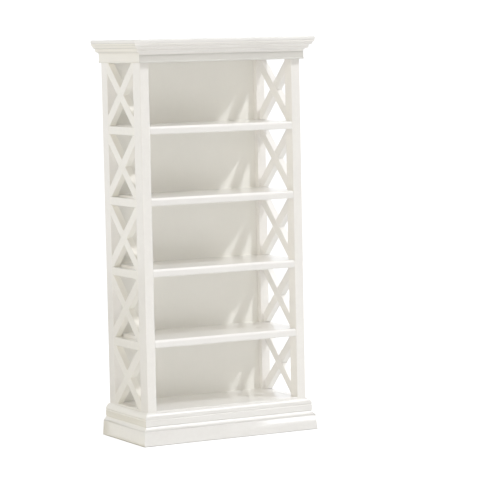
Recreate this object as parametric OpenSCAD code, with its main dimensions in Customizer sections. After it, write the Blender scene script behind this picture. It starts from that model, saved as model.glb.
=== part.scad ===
// Miniature bookcase: four posts, five open compartments, crossed lattice sides,
// a moulded plinth and a moulded crown. The front faces -Y and +X is to the right.
// The origin is on the floor, under the middle of the crown's outline.

/* [Overall] */
// Height from the floor to the top of the crown
overall_h = 153; // [148:0.5:165]
// Width of the crown's top board, the widest piece
overall_w = 77; // [76:0.2:80]
// Width across the outer faces of the posts
body_w = 68.4; // [66:0.2:70]
// Depth over the posts, from the back to their front faces
body_d = 34.2; // [32:0.2:40]

/* [Posts, panels and shelves] */
// Width of a post, across the bookcase
post_w = 3.7; // [3:0.1:5]
// Depth of the left front post, from front to back
left_front_post_d = 6.1; // [5:0.1:7]
// Depth of the left rear post
left_rear_post_d = 5.1; // [5:0.1:7]
// Depth of the right front post
right_front_post_d = 5.3; // [5:0.1:7]
// Depth of the right rear post
right_rear_post_d = 5.7; // [5:0.1:7]
// Thickness of the shelves
shelf_t = 3; // [2.4:0.1:3.6]
// Thickness of the back panel
back_t = 3.2; // [1.2:0.1:3.6]
// Thickness of the board under the posts
base_board_t = 3; // [2:0.1:4]
// Radius of the rounded front edges of the shelves
shelf_round = 1.2; // [0.2:0.1:1.4]

/* [Side lattice] */
// Thickness of the side rails between the crosses
rail_t = 3.1; // [2.6:0.1:3.6]
// How much farther apart the left rails are than the shelves
left_rail_spread = 0.28; // [0:0.02:0.3]
// Width of a crossed bar, seen from the side
bar_w = 3.8; // [3:0.1:4.6]
// Thickness of a crossed bar, flush with the outer face of the posts
bar_t = 2.6; // [1.6:0.1:3]
// Angle of a crossed bar from the horizontal
bar_angle = 43; // [42:1:50]

/* [Base] */
// Height of the bottom shelf's top face above the floor
base_h = 12.8; // [12:0.1:16]
// Height of the plinth strips
plinth_h = 7.2; // [6.8:0.1:7.8]
// How far the foot of the plinth stands out from the posts
plinth_out = 3.3; // [3:0.1:4]
// How far the base moulding stands out from the posts
base_moulding_out = 1.85; // [1.6:0.05:2.2]

/* [Crown] */
// Height of the crown, from the underside of the frieze to its top
crown_h = 8.7; // [8.6:0.1:10]
// Thickness of the top board
top_board_t = 1.4; // [1.2:0.1:2]
// Thickness of the frieze across the front
frieze_front_t = 1.7; // [1.2:0.1:2]
// Thickness of the frieze along the sides
frieze_side_t = 0.9; // [0.6:0.1:1.2]

/* [Hidden] */
$fn = 64;
LEFT = -1;
RIGHT = 1;
RISING = 1;
FALLING = -1;
WHITE = [0.93, 0.92, 0.89];
CREAM = [0.91, 0.89, 0.83];
BACK_WHITE = [0.84, 0.83, 0.79];

compartments = 5;
half_w = body_w / 2;
inner_half_w = half_w - post_w;
crown_side_out = (overall_w - body_w) / 2;
top_board_out = crown_side_out - frieze_side_t;
crown_front_out = frieze_front_t + top_board_out;
overall_d = body_d + crown_front_out;
back_y = overall_d / 2;
front_y = back_y - body_d;

crown_z = overall_h - crown_h;
clear_h = (crown_z - base_h - (compartments - 1) * shelf_t) / compartments;
pitch = clear_h + shelf_t;
top_board_z = overall_h - top_board_t;
frieze_h = shelf_t;
crown_moulding_z = crown_z + frieze_h;
crown_moulding_h = top_board_z - crown_moulding_z;

// Radii of the rounds on the mouldings and boards
top_board_round = 0.5;
plinth_round = 0.8;
foot_round = 0.3;
frieze_bead_r = 0.35;

// Longer than any piece, for cutting tools
reach = 200;

// Top face of shelf i, where 0 is the bottom shelf and 5 is the panel over the top compartment
function shelf_top(i) = base_h + i * pitch;
function front_post_d(side) = side == LEFT ? left_front_post_d : right_front_post_d;
function rear_post_d(side) = side == LEFT ? left_rear_post_d : right_rear_post_d;
function lattice_d(side) = body_d - front_post_d(side) - rear_post_d(side);
// Rails 0 and 5 are behind the mouldings. The left rails between them sink below the shelves,
// most of all the lowest one.
function rail_drop(side, i) = side == LEFT && i > 0 ? left_rail_spread * (compartments - i) : 0;
function rail_top(side, i) = shelf_top(i) - rail_drop(side, i);
function rail_h(i) = i == compartments ? shelf_t : rail_t;
function cross_h(side, i) = rail_top(side, i) - rail_h(i) - rail_top(side, i - 1);
function unit(v) = v / norm(v);

// ---- Flat outlines ----

// What is cut away at corner b, between its neighbours a and c, to leave a round of radius r
module corner_waste(a, b, c, r) {
    to_a = unit(a - b);
    to_c = unit(c - b);
    half_angle = acos(to_a * to_c) / 2;
    centre = b + unit(to_a + to_c) * r / sin(half_angle);
    tangent = r / tan(half_angle);
    difference() {
        polygon([b + to_a * tangent, b, b + to_c * tangent, centre]);
        translate(centre) circle(r);
    }
}

// A polygon with a round at every corner whose radius isn't 0
module rounded_polygon(points, radii) {
    count = len(points);
    difference() {
        polygon(points);
        for (i = [0 : count - 1])
            if (radii[i] > 0)
                corner_waste(points[(i + count - 1) % count], points[i], points[(i + 1) % count], radii[i]);
    }
}

// Hollow quarter round that spreads outwards (+X) as it rises
module cove(r) {
    difference() {
        square(r);
        translate([r, 0]) circle(r);
    }
}

// Full quarter round that spreads outwards (+X) as it rises
module ovolo(r) {
    intersection() {
        square(r);
        translate([0, r]) circle(r);
    }
}

// ---- Profiles: X is the distance out from the face of the post or frieze, Y is the height ----

// Plinth strip: a foot that leans out, and a sloping top under the base moulding
module plinth_profile() {
    shoulder_h = 5.7;
    shoulder_out = plinth_out - 0.45;
    rounded_polygon(
        [[0, 0], [plinth_out, 0], [shoulder_out, shoulder_h], [base_moulding_out - 0.15, plinth_h], [0, plinth_h]],
        [0, foot_round, plinth_round, 0, 0]);
}

// Base moulding: a band between two grooves, under a big round that runs up to the posts
module base_moulding_profile() {
    h = base_h - plinth_h;
    groove = 0.3;
    band_top = 2.55;
    upper_groove_z = band_top + groove / 2;
    big_r = 2.5;
    big_r_centre = [base_moulding_out - big_r, h - 2.85];
    difference() {
        union() {
            square([base_moulding_out, upper_groove_z]);
            intersection() {
                translate(big_r_centre) circle(big_r);
                translate([0, upper_groove_z]) square([base_moulding_out, h - upper_groove_z]);
            }
        }
        translate([base_moulding_out, 0]) circle(groove);
        translate([base_moulding_out + groove / 3, upper_groove_z]) circle(groove);
    }
}

// Crown moulding: three coves and two quarter rounds, stepping out from the frieze
module crown_moulding_profile(back) {
    cove_low = 0.8;
    round_low = 0.7;
    cove_mid = 0.7;
    round_top = 0.35;
    cove_top = 0.6;
    // Where each element starts: [out, height]
    a = [0, 0.15];
    b = a + [cove_low, cove_low + 0.1];
    c = b + [round_low, round_low + 0.15];
    d = c + [cove_mid, cove_mid + 0.05];
    e = d + [round_top, round_top + 0.1];
    f = e + [cove_top, cove_top];
    h = crown_moulding_h;
    translate([-back, 0]) square([back, h]);
    polygon([[0, h], [0, a.y + cove_low], [b.x, a.y + cove_low], [b.x, b.y + round_low], [c.x, b.y + round_low],
             [c.x, c.y + cove_mid], [d.x, c.y + cove_mid], [d.x, d.y + round_top], [e.x, d.y + round_top],
             [e.x, f.y], [f.x, f.y], [f.x, h]]);
    translate(a) cove(cove_low);
    translate(b) ovolo(round_low);
    translate(c) cove(cove_mid);
    translate(d) ovolo(round_top);
    translate(e) cove(cove_top);
}

// Frieze board with a small bead along its lower edge
module frieze_profile(thickness) {
    bead_out = 0.15;
    square([thickness, frieze_h]);
    difference() {
        translate([thickness + bead_out - frieze_bead_r, frieze_bead_r]) circle(frieze_bead_r);
        translate([-reach, -reach]) square([reach + thickness / 2, 2 * reach]);
    }
}

// ---- Strips with mitred corners ----

// Runs a profile along the front face at y = face_y, from height z, with a 45 degree mitre at
// each end that starts where that face meets the side faces at x = -out_x and x = out_x
module front_strip(out_x, face_y, z, reach_out) {
    intersection() {
        translate([-reach / 2, face_y, z]) rotate([90, 0, 90]) mirror([1, 0, 0]) linear_extrude(reach) children();
        translate([0, 0, z - 1]) linear_extrude(reach)
            polygon([[-half_w, front_y], [-half_w, face_y + out_x - half_w], [-out_x, face_y],
                     [-out_x - reach_out, face_y - reach_out], [out_x + reach_out, face_y - reach_out],
                     [out_x, face_y], [half_w, face_y + out_x - half_w], [half_w, front_y]]);
    }
}

// The same along one side, square at the back and mitred at the front
module side_strip(side, out_x, face_y, z, reach_out) {
    mirror([side == LEFT ? 1 : 0, 0, 0])
        intersection() {
            translate([out_x, back_y, z]) rotate([90, 0, 0]) linear_extrude(reach) children();
            translate([0, 0, z - 1]) linear_extrude(reach)
                polygon([[half_w, back_y], [half_w, face_y + out_x - half_w], [out_x, face_y],
                         [out_x + reach_out, face_y - reach_out], [out_x + reach_out, back_y]]);
        }
}

// ---- Base ----

module base_board() {
    color(WHITE) translate([-half_w, front_y, 0]) cube([body_w, body_d, base_board_t]);
}

module plinth_front() {
    color(WHITE) front_strip(half_w, front_y, 0, plinth_out + 1) plinth_profile();
}

module plinth_side(side) {
    color(CREAM) side_strip(side, half_w, front_y, 0, plinth_out + 1) plinth_profile();
}

module base_moulding_front() {
    color(WHITE) front_strip(half_w, front_y, plinth_h, plinth_out) base_moulding_profile();
}

module base_moulding_side(side) {
    color(CREAM) side_strip(side, half_w, front_y, plinth_h, plinth_out) base_moulding_profile();
}

// ---- Carcass ----

module post(side, y, depth) {
    color(WHITE) translate([side * (half_w - post_w / 2) - post_w / 2, y, base_board_t])
        cube([post_w, depth, top_board_z - base_board_t]);
}

module front_post(side) {
    post(side, front_y, front_post_d(side));
}

module rear_post(side) {
    post(side, back_y - rear_post_d(side), rear_post_d(side));
}

module back_panel() {
    color(BACK_WHITE) translate([-inner_half_w, back_y - back_t, base_board_t])
        cube([2 * inner_half_w, back_t, top_board_z - base_board_t]);
}

// Shelf between the posts and the rails, with a rounded front edge
module shelf(i) {
    depth = body_d - back_t;
    color(WHITE) translate([-inner_half_w, front_y, shelf_top(i) - shelf_t])
        rotate([90, 0, 90]) linear_extrude(2 * inner_half_w)
            rounded_polygon([[0, 0], [depth, 0], [depth, shelf_t], [0, shelf_t]],
                            [shelf_round / 2, 0, 0, shelf_round]);
}

// Square-edged panel behind the frieze or the base moulding
module hidden_panel(i) {
    color(WHITE) translate([-inner_half_w, front_y, shelf_top(i) - shelf_t])
        cube([2 * inner_half_w, body_d - back_t, shelf_t]);
}

module rail(side, i) {
    x = side * (half_w - post_w / 2) - post_w / 2;
    color(CREAM) translate([x, front_y + front_post_d(side), rail_top(side, i) - rail_h(i)])
        cube([post_w, lattice_d(side), rail_h(i)]);
}

// ---- Lattice ----

// Outline of one crossed bar, cut to fit an opening centred on the origin
module bar_outline(opening, direction) {
    intersection() {
        square(opening, center = true);
        rotate(-direction * bar_angle) square([2 * opening.x, bar_w], center = true);
    }
}

// One bar of a cross, halved where the two bars pass. Seen from the side, a rising bar climbs
// from the back to the front; it keeps its outer half at the crossing.
module lattice_bar(side, direction, i) {
    inner_face = half_w - bar_t;
    notch_x = direction == RISING ? inner_face - 1 : inner_face + bar_t / 2;
    opening = [lattice_d(side), cross_h(side, i)];
    color(CREAM) mirror([side == LEFT ? 1 : 0, 0, 0])
        translate([0, front_y + front_post_d(side) + opening.x / 2, rail_top(side, i - 1) + opening.y / 2])
            difference() {
                translate([inner_face, 0, 0]) rotate([90, 0, 90]) linear_extrude(bar_t)
                    bar_outline(opening, direction);
                translate([notch_x, 0, 0]) rotate([90, 0, 90]) linear_extrude(bar_t / 2 + 1)
                    bar_outline(opening, -direction);
            }
}

// ---- Crown ----

module frieze_front() {
    color(WHITE) front_strip(half_w + frieze_side_t, front_y - frieze_front_t, crown_z, 1)
        translate([-frieze_front_t, 0]) frieze_profile(frieze_front_t);
}

module frieze_side(side) {
    color(CREAM) side_strip(side, half_w + frieze_side_t, front_y - frieze_front_t, crown_z, 1)
        translate([-frieze_side_t, 0]) frieze_profile(frieze_side_t);
}

module crown_moulding_front() {
    color(WHITE) front_strip(half_w + frieze_side_t, front_y - frieze_front_t, crown_moulding_z, top_board_out + 1)
        crown_moulding_profile(frieze_front_t);
}

module crown_moulding_side(side) {
    color(CREAM) side_strip(side, half_w + frieze_side_t, front_y - frieze_front_t, crown_moulding_z,
                            top_board_out + 1)
        crown_moulding_profile(frieze_side_t);
}

// Top board, rounded along its front and side edges
module top_board() {
    r = top_board_round;
    color(WHITE) translate([0, 0, top_board_z])
        intersection() {
            translate([-overall_w / 2, -overall_d / 2, 0]) rotate([90, 0, 90]) linear_extrude(overall_w)
                rounded_polygon([[0, 0], [overall_d, 0], [overall_d, top_board_t], [0, top_board_t]], [r, 0, 0, r]);
            translate([-overall_w / 2, overall_d / 2, 0]) rotate([90, 0, 0]) linear_extrude(overall_d)
                rounded_polygon([[0, 0], [overall_w, 0], [overall_w, top_board_t], [0, top_board_t]], [r, r, r, r]);
        }
}

// ---- Nodes ----

base_board();
plinth_front();
plinth_side(LEFT);  // plinth_left
plinth_side(RIGHT);  // plinth_right
base_moulding_front();
base_moulding_side(LEFT);  // base_moulding_left
base_moulding_side(RIGHT);  // base_moulding_right
front_post(LEFT);  // post_front_left
front_post(RIGHT);  // post_front_right
rear_post(LEFT);  // post_rear_left
rear_post(RIGHT);  // post_rear_right
back_panel();
hidden_panel(0);  // bottom_shelf
for (i = [1 : compartments - 1])
    shelf(i);
hidden_panel(compartments);  // top_panel
for (i = [0 : compartments]) {
    rail(LEFT, i);
    rail(RIGHT, i);
}
for (i = [1 : compartments]) {
    lattice_bar(LEFT, RISING, i);
    lattice_bar(LEFT, FALLING, i);
    lattice_bar(RIGHT, RISING, i);
    lattice_bar(RIGHT, FALLING, i);
}
frieze_front();
frieze_side(LEFT);  // frieze_left
frieze_side(RIGHT);  // frieze_right
crown_moulding_front();
crown_moulding_side(LEFT);  // crown_moulding_left
crown_moulding_side(RIGHT);  // crown_moulding_right
top_board();
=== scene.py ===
"""Looks of the miniature bookcase: painted wood, softened edges, studio light and camera."""

import math

import bpy
from mathutils import Matrix, Vector


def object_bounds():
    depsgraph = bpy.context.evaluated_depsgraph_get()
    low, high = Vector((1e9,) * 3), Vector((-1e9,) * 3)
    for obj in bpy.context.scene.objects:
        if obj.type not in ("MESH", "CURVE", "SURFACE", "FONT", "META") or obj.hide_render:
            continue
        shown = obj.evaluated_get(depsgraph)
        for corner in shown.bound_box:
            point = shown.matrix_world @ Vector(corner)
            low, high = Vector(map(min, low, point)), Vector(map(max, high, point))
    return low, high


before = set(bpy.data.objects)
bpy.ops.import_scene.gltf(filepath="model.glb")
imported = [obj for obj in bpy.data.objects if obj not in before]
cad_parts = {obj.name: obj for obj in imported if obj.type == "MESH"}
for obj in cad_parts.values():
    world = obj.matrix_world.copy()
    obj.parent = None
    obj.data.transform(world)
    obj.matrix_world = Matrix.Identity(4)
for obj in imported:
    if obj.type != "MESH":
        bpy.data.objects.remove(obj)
CAD_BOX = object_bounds()
MIDDLE = (CAD_BOX[0] + CAD_BOX[1]) / 2

MM = 0.001
X_AXIS, Y_AXIS, Z_AXIS = 0, 1, 2

# Linear colours of the paints, the lights and the bare wood. Several paints are copies of one white with
# light or shade painted in.
WARM_WHITE = (0.945, 0.905, 0.835)
# Painted side light: a warmer copy of the white paint for the left lattice, for the warm light on the
# left faces
CREAM_WHITE = (0.95, 0.91, 0.80)
# Painted side light: the right pieces take this cooler copy of the white paint, against the warmer left
# copies; the shelves use it too
COOL_WHITE = (0.945, 0.915, 0.865)
MATT_WHITE = (0.912, 0.89, 0.79)
# Painted shade: a darker, greyer copy of the white paint for the base's front pieces, which take less
# light than the posts above them
SHADED_BASE_WHITE = (0.87, 0.845, 0.80)
# Painted shadow: a much darker copy of the white paint for the frieze front, standing in for the crown's
# shadow on it
FRIEZE_SHADOW_WHITE = (0.55, 0.53, 0.47)
# Painted side light and shade: a warmer, darker copy of the white paint for the left trim
SHADED_LEFT_CREAM = (0.90, 0.85, 0.70)
PRIMER = (0.80, 0.755, 0.68)
WARM_LIGHT = (1.0, 0.955, 0.88)
SUNNY_LIGHT = (1.0, 0.86, 0.35)
PINE = (0.52, 0.36, 0.20)
DARK_PINE = (0.34, 0.21, 0.10)


# ---- Node helpers ----

def new_material(name):
    """A material with an empty node tree but for its output, and that output's surface socket."""
    material = bpy.data.materials.new(name)
    material.use_nodes = True
    material.node_tree.nodes.clear()
    output = material.node_tree.nodes.new("ShaderNodeOutputMaterial")
    return material, material.node_tree, output.inputs["Surface"]


def noise(tree, vector, scale, detail=3.0, roughness=0.55):
    """The value socket of a noise texture, with its scale in waves per metre."""
    node = tree.nodes.new("ShaderNodeTexNoise")
    node.inputs["Scale"].default_value = scale
    node.inputs["Detail"].default_value = detail
    node.inputs["Roughness"].default_value = roughness
    tree.links.new(vector, node.inputs["Vector"])
    return node.outputs["Fac"]


def stretched(tree, vector, scale):
    """The vector socket scaled along each axis. A pattern runs along the axis with the least scale."""
    node = tree.nodes.new("ShaderNodeMapping")
    node.inputs["Scale"].default_value = scale
    tree.links.new(vector, node.inputs["Vector"])
    return node.outputs["Vector"]


def ramp(tree, value, stops):
    """A colour ramp over a value, from (position, grey or colour) pairs."""
    node = tree.nodes.new("ShaderNodeValToRGB")
    elements = node.color_ramp.elements
    while len(elements) < len(stops):
        elements.new(0.5)
    for element, (position, colour) in zip(elements, stops):
        element.position = position
        rgb = (colour,) * 3 if isinstance(colour, (int, float)) else colour
        element.color = (*rgb, 1.0)
    tree.links.new(value, node.inputs["Fac"])
    return node.outputs["Color"]


def mixed(tree, factor, a, b, blend_type="MIX"):
    """Colour a mixed with colour b. Each of the three is a socket or a constant."""
    node = tree.nodes.new("ShaderNodeMix")
    node.data_type = "RGBA"
    node.blend_type = blend_type
    for socket, value in zip(shown(node.inputs), (factor, a, b)):
        put(tree, socket, value)
    return shown(node.outputs)[0]


def put(tree, socket, value):
    """Links a socket, or sets a constant, on an input socket. Colours are given as three numbers."""
    if isinstance(value, bpy.types.NodeSocket):
        tree.links.new(value, socket)
    elif isinstance(value, tuple):
        socket.default_value = (*value, 1.0)
    else:
        socket.default_value = value


def shown(sockets):
    """A Mix node has a set of sockets for each data type; this picks those of its own type."""
    return [s for s in sockets if s.enabled]


def bump(tree, height, strength, distance, normal=None):
    """A bump that is at most `distance` metres high."""
    node = tree.nodes.new("ShaderNodeBump")
    node.inputs["Strength"].default_value = strength
    node.inputs["Distance"].default_value = distance
    tree.links.new(height, node.inputs["Height"])
    if normal is not None:
        tree.links.new(normal, node.inputs["Normal"])
    return node.outputs["Normal"]


# ---- Materials ----

def scaled(colour, factor):
    """A colour times a factor, kept within white."""
    return tuple(min(1.0, c * factor) for c in colour)


def painted_wood(name, paint, along, roughness, coat_roughness=0.16, highlight_strength=0.5):
    """Glossy paint over wood, with brush strokes and faint grain along one axis, duller blotches
    and a painted edge highlight: brighter paint where the surface turns sharply outwards."""
    material, tree, surface = new_material(name)
    place = tree.nodes.new("ShaderNodeTexCoord").outputs["Object"]

    def drawn_out(scale):
        return stretched(tree, place, [scale if axis == along else 1.0 for axis in range(3)])

    strokes = noise(tree, drawn_out(0.06), 2600.0, detail=4.0)
    grain = noise(tree, drawn_out(0.03), 900.0, detail=5.0, roughness=0.6)
    blotches = noise(tree, place, 95.0, detail=3.0)
    specks = noise(tree, place, 3800.0, detail=2.0)
    lumps = noise(tree, place, 520.0, detail=3.0)

    tone = mixed(tree, ramp(tree, blotches, [(0.30, 0.0), (0.72, 1.0)]), scaled(paint, 0.965), paint)
    tone = mixed(tree, ramp(tree, strokes, [(0.35, 0.12), (0.65, 0.0)]), tone, PRIMER)
    tone = mixed(tree, ramp(tree, specks, [(0.70, 0.0), (0.80, 0.16)]), tone, PRIMER)

    # Painted highlight: the paint is made a little brighter, in patches, where the surface turns sharply
    # outwards
    edge = tree.nodes.new("ShaderNodeNewGeometry").outputs["Pointiness"]
    edge_highlight = ramp(tree, edge, [(0.53, 0.0), (0.60, highlight_strength)])
    edge_highlight = mixed(tree, ramp(tree, lumps, [(0.42, 0.0), (0.60, 1.0)]), (0.0, 0.0, 0.0), edge_highlight)
    tone = mixed(tree, edge_highlight, tone, scaled(paint, 1.03))

    shader = tree.nodes.new("ShaderNodeBsdfPrincipled")
    tree.links.new(tone, shader.inputs["Base Color"])
    gloss = ramp(tree, lumps, [(0.3, roughness - 0.02), (0.7, roughness + 0.03)])
    tree.links.new(gloss, shader.inputs["Roughness"])
    shader.inputs["IOR"].default_value = 1.48
    shader.inputs["Specular IOR Level"].default_value = 0.4
    shader.inputs["Coat Weight"].default_value = 1.0
    shader.inputs["Coat IOR"].default_value = 1.6
    shader.inputs["Coat Roughness"].default_value = coat_roughness
    normal = bump(tree, lumps, 0.20, 0.012 * MM)
    normal = bump(tree, grain, 0.15, 0.006 * MM, normal)
    normal = bump(tree, strokes, 0.20, 0.004 * MM, normal)
    tree.links.new(normal, shader.inputs["Normal"])
    tree.links.new(shader.outputs["BSDF"], surface)
    return material


def bare_wood(name):
    """Sanded pine with rings and pores, for the underside that is never painted."""
    material, tree, surface = new_material(name)
    place = tree.nodes.new("ShaderNodeTexCoord").outputs["Object"]
    rings = noise(tree, stretched(tree, place, (0.05, 1.0, 1.0)), 420.0, detail=6.0, roughness=0.62)
    pores = noise(tree, stretched(tree, place, (0.02, 1.0, 1.0)), 5200.0, detail=2.0)
    tone = ramp(tree, rings, [(0.32, DARK_PINE), (0.47, PINE), (0.70, scaled(PINE, 1.25))])
    tone = mixed(tree, ramp(tree, pores, [(0.28, 0.5), (0.40, 0.0)]), tone, DARK_PINE)
    shader = tree.nodes.new("ShaderNodeBsdfPrincipled")
    tree.links.new(tone, shader.inputs["Base Color"])
    tree.links.new(ramp(tree, rings, [(0.3, 0.68), (0.7, 0.56)]), shader.inputs["Roughness"])
    tree.links.new(bump(tree, pores, 0.4, 0.03 * MM), shader.inputs["Normal"])
    tree.links.new(shader.outputs["BSDF"], surface)
    return material


def white_floor(name, glow):
    """Matt white paper with a faint tooth. The glow whitens what the camera sees and lights nothing."""
    material, tree, surface = new_material(name)
    place = tree.nodes.new("ShaderNodeTexCoord").outputs["Object"]
    tooth = noise(tree, place, 700.0, detail=3.0)
    tone = ramp(tree, tooth, [(0.3, 0.93), (0.7, 0.95)])
    shader = tree.nodes.new("ShaderNodeBsdfPrincipled")
    tree.links.new(tone, shader.inputs["Base Color"])
    shader.inputs["Roughness"].default_value = 0.9
    shader.inputs["Specular IOR Level"].default_value = 0.1
    shader.inputs["Emission Color"].default_value = (1.0, 1.0, 1.0, 1.0)
    seen = tree.nodes.new("ShaderNodeLightPath").outputs["Is Camera Ray"]
    tree.links.new(ramp(tree, seen, [(0.0, 0.0), (1.0, glow)]), shader.inputs["Emission Strength"])
    tree.links.new(shader.outputs["BSDF"], surface)
    return material


MATERIALS = {
    "front_trim": painted_wood("paint_front_trim", WARM_WHITE, X_AXIS, 0.34),
    # The base's front pieces take the copy of the paint with shade painted in
    "front_base": painted_wood("paint_front_base_shaded", SHADED_BASE_WHITE, X_AXIS, 0.30),
    # Left and right copies of the same white paint, with side light and shade painted in
    "left_trim": painted_wood("paint_left_trim", SHADED_LEFT_CREAM, Y_AXIS, 0.36),
    "right_trim": painted_wood("paint_right_trim", COOL_WHITE, Y_AXIS, 0.36),
    # The frieze front carries the crown's shadow painted into its colour
    "frieze": painted_wood("paint_frieze_painted_shadow", FRIEZE_SHADOW_WHITE, X_AXIS, 0.40),
    "post": painted_wood("paint_post", WARM_WHITE, Z_AXIS, 0.36),
    "left_lattice": painted_wood("paint_left_lattice", CREAM_WHITE, Y_AXIS, 0.36),
    "right_lattice": painted_wood("paint_right_lattice", COOL_WHITE, Y_AXIS, 0.36),
    "shelf": painted_wood("paint_shelf", COOL_WHITE, X_AXIS, 0.30),
    "back": painted_wood("paint_back_panel", MATT_WHITE, Z_AXIS, 0.58, coat_roughness=0.45,
                         highlight_strength=0.2),
    "underside": bare_wood("sanded_pine"),
}


def look_of(node):
    """The material that a CAD node is finished in, from its name."""
    if node == "base_board":
        return "underside"
    if node == "back_panel":
        return "back"
    if node == "frieze_front":
        return "frieze"
    if "shelf" in node or node in ("top_panel", "top_board"):
        return "shelf"
    if node.startswith("post"):
        return "post"
    # Lattice and trim pieces take their side's copy of the paint, with side light and shade painted in
    if "_rail_" in node or "_bar_" in node:
        return node.split("_")[0] + "_lattice"
    # The base's front pieces take the copy of the paint with shade painted in
    if node in ("plinth_front", "base_moulding_front"):
        return "front_base"
    if node.endswith(("left", "right")):
        return node.split("_")[-1] + "_trim"
    return "front_trim"


def soften_edges(piece, radius):
    """Rounds a CAD piece's arrises as paint and sandpaper do, without moving its faces."""
    weld = piece.modifiers.new("weld", "WELD")
    weld.merge_threshold = 0.002 * MM
    flat = piece.modifiers.new("one_face_per_plane", "DECIMATE")
    flat.decimate_type = "DISSOLVE"
    flat.angle_limit = math.radians(0.5)
    bevel = piece.modifiers.new("soft_edge", "BEVEL")
    bevel.width = radius
    bevel.segments = 3
    bevel.limit_method = "ANGLE"
    bevel.angle_limit = math.radians(28)
    bevel.use_clamp_overlap = True
    bevel.harden_normals = False
    normals = piece.modifiers.new("even_shading", "WEIGHTED_NORMAL")
    normals.keep_sharp = True


for node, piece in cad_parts.items():
    piece.data.materials.clear()
    piece.data.materials.append(MATERIALS[look_of(node)])
    piece.data.shade_smooth()
    soften_edges(piece, 0.22 * MM)


# ---- Floor, light and camera ----

def make_floor(half_size, glow):
    """A square floor round the object, small enough to end before it would darken in the distance."""
    signs = [(-1, -1), (1, -1), (1, 1), (-1, 1)]
    corners = [(x * half_size, y * half_size, 0.0) for x, y in signs]
    mesh = bpy.data.meshes.new("floor")
    mesh.from_pydata(corners, [], [(0, 1, 2, 3)])
    floor = bpy.data.objects.new("floor", mesh)
    bpy.context.scene.collection.objects.link(floor)
    floor.data.materials.append(white_floor("white_paper", glow))


def direction(azimuth, elevation):
    """The unit vector towards a place round the object. Azimuth 0 is the front and 90 its right side."""
    a, e = math.radians(azimuth), math.radians(elevation)
    return Vector((math.sin(a) * math.cos(e), -math.cos(a) * math.cos(e), math.sin(e)))


def soft_box(name, azimuth, elevation, distance, size, brightness,
             colour=(1.0, 1.0, 1.0), shows="both"):
    """A studio light that gives a white matt face turned to it a radiance of `brightness`. It is round
    if `size` is a number, and oblong if it is a width and a height. `shows` is "both", or "matt" for
    a light without a reflection, or "gloss" for the reflection alone."""
    light = bpy.data.lights.new(name, "AREA")
    if isinstance(size, tuple):
        light.shape = "RECTANGLE"
        light.size, light.size_y = size
    else:
        light.shape = "DISK"
        light.size = size
    light.energy = brightness * math.pi ** 2 * distance ** 2
    light.color = colour
    lamp = bpy.data.objects.new(name, light)
    bpy.context.scene.collection.objects.link(lamp)
    towards = direction(azimuth, elevation)
    lamp.visible_glossy = shows != "matt"
    lamp.visible_diffuse = shows != "gloss"
    lamp.location = MIDDLE + towards * distance
    lamp.rotation_mode = "QUATERNION"
    lamp.rotation_quaternion = (-towards).to_track_quat("-Z", "Y")


def bright_backdrop(strength):
    """Surroundings that the camera sees as white all round, but that light the object from behind."""
    world = bpy.data.worlds.new("white_studio")
    bpy.context.scene.world = world
    world.use_nodes = True
    tree = world.node_tree
    background = tree.nodes["Background"]
    split = tree.nodes.new("ShaderNodeSeparateXYZ")
    tree.links.new(tree.nodes.new("ShaderNodeTexCoord").outputs["Generated"], split.inputs[0])
    cap = ramp(tree, split.outputs["Y"], [(0.68, 0.0), (0.80, 1.0)])
    seen = tree.nodes.new("ShaderNodeLightPath").outputs["Is Camera Ray"]
    tree.links.new(mixed(tree, seen, cap, (1.0, 1.0, 1.0)), background.inputs["Color"])
    background.inputs["Strength"].default_value = strength


def make_camera(azimuth, elevation, roll, distance, shift_right, shift_down, lens):
    """A camera aimed a little to the right of and below the middle, and turned about its axis."""
    a, r = math.radians(azimuth), math.radians(roll)
    back = direction(azimuth, elevation)
    right = Vector((math.cos(a), math.sin(a), 0.0))
    up = back.cross(right)
    x_axis = right * math.cos(r) + up * math.sin(r)
    y_axis = up * math.cos(r) - right * math.sin(r)
    data = bpy.data.cameras.new("camera")
    data.lens = lens
    data.sensor_width = 36.0
    data.clip_start, data.clip_end = 0.05, 20.0
    camera = bpy.data.objects.new("camera", data)
    bpy.context.scene.collection.objects.link(camera)
    place = MIDDLE + right * shift_right - up * shift_down + back * distance
    turn = Matrix((x_axis, y_axis, back)).transposed().to_4x4()
    camera.matrix_world = Matrix.Translation(place) @ turn
    bpy.context.scene.camera = camera


make_floor(half_size=0.6, glow=0.9)
bright_backdrop(strength=1.2)

# The key light shines through the right lattice onto the back panel, and the overhead box draws the
# bright lines along the rounds. The rest fills the shade.
soft_box("key", azimuth=50, elevation=43, distance=1.1, size=0.1, brightness=0.68, shows="matt")
soft_box("overhead_box", 25, 62, distance=1.2, size=(2.4, 0.5), brightness=1.8, shows="gloss")
soft_box("front_box", 15, 4, distance=1.2, size=0.8, brightness=0.04, shows="matt")
soft_box("front_left_box", -58, 10, distance=1.2, size=0.8, brightness=0.34, colour=WARM_LIGHT)
soft_box("left_box", -80, 16, distance=1.2, size=0.8, brightness=0.07, colour=SUNNY_LIGHT)
soft_box("right_box", 85, 30, distance=1.2, size=0.8, brightness=0.08, shows="matt")
make_camera(azimuth=-28.07, elevation=5.03, roll=-1.199, distance=951.2 * MM,
            shift_right=16.455 * MM, shift_down=5.563 * MM, lens=176.96)

# High-key look: the mid tones are lifted towards white
bpy.context.scene.view_settings.view_transform = "Standard"
bpy.context.scene.view_settings.gamma = 2.0
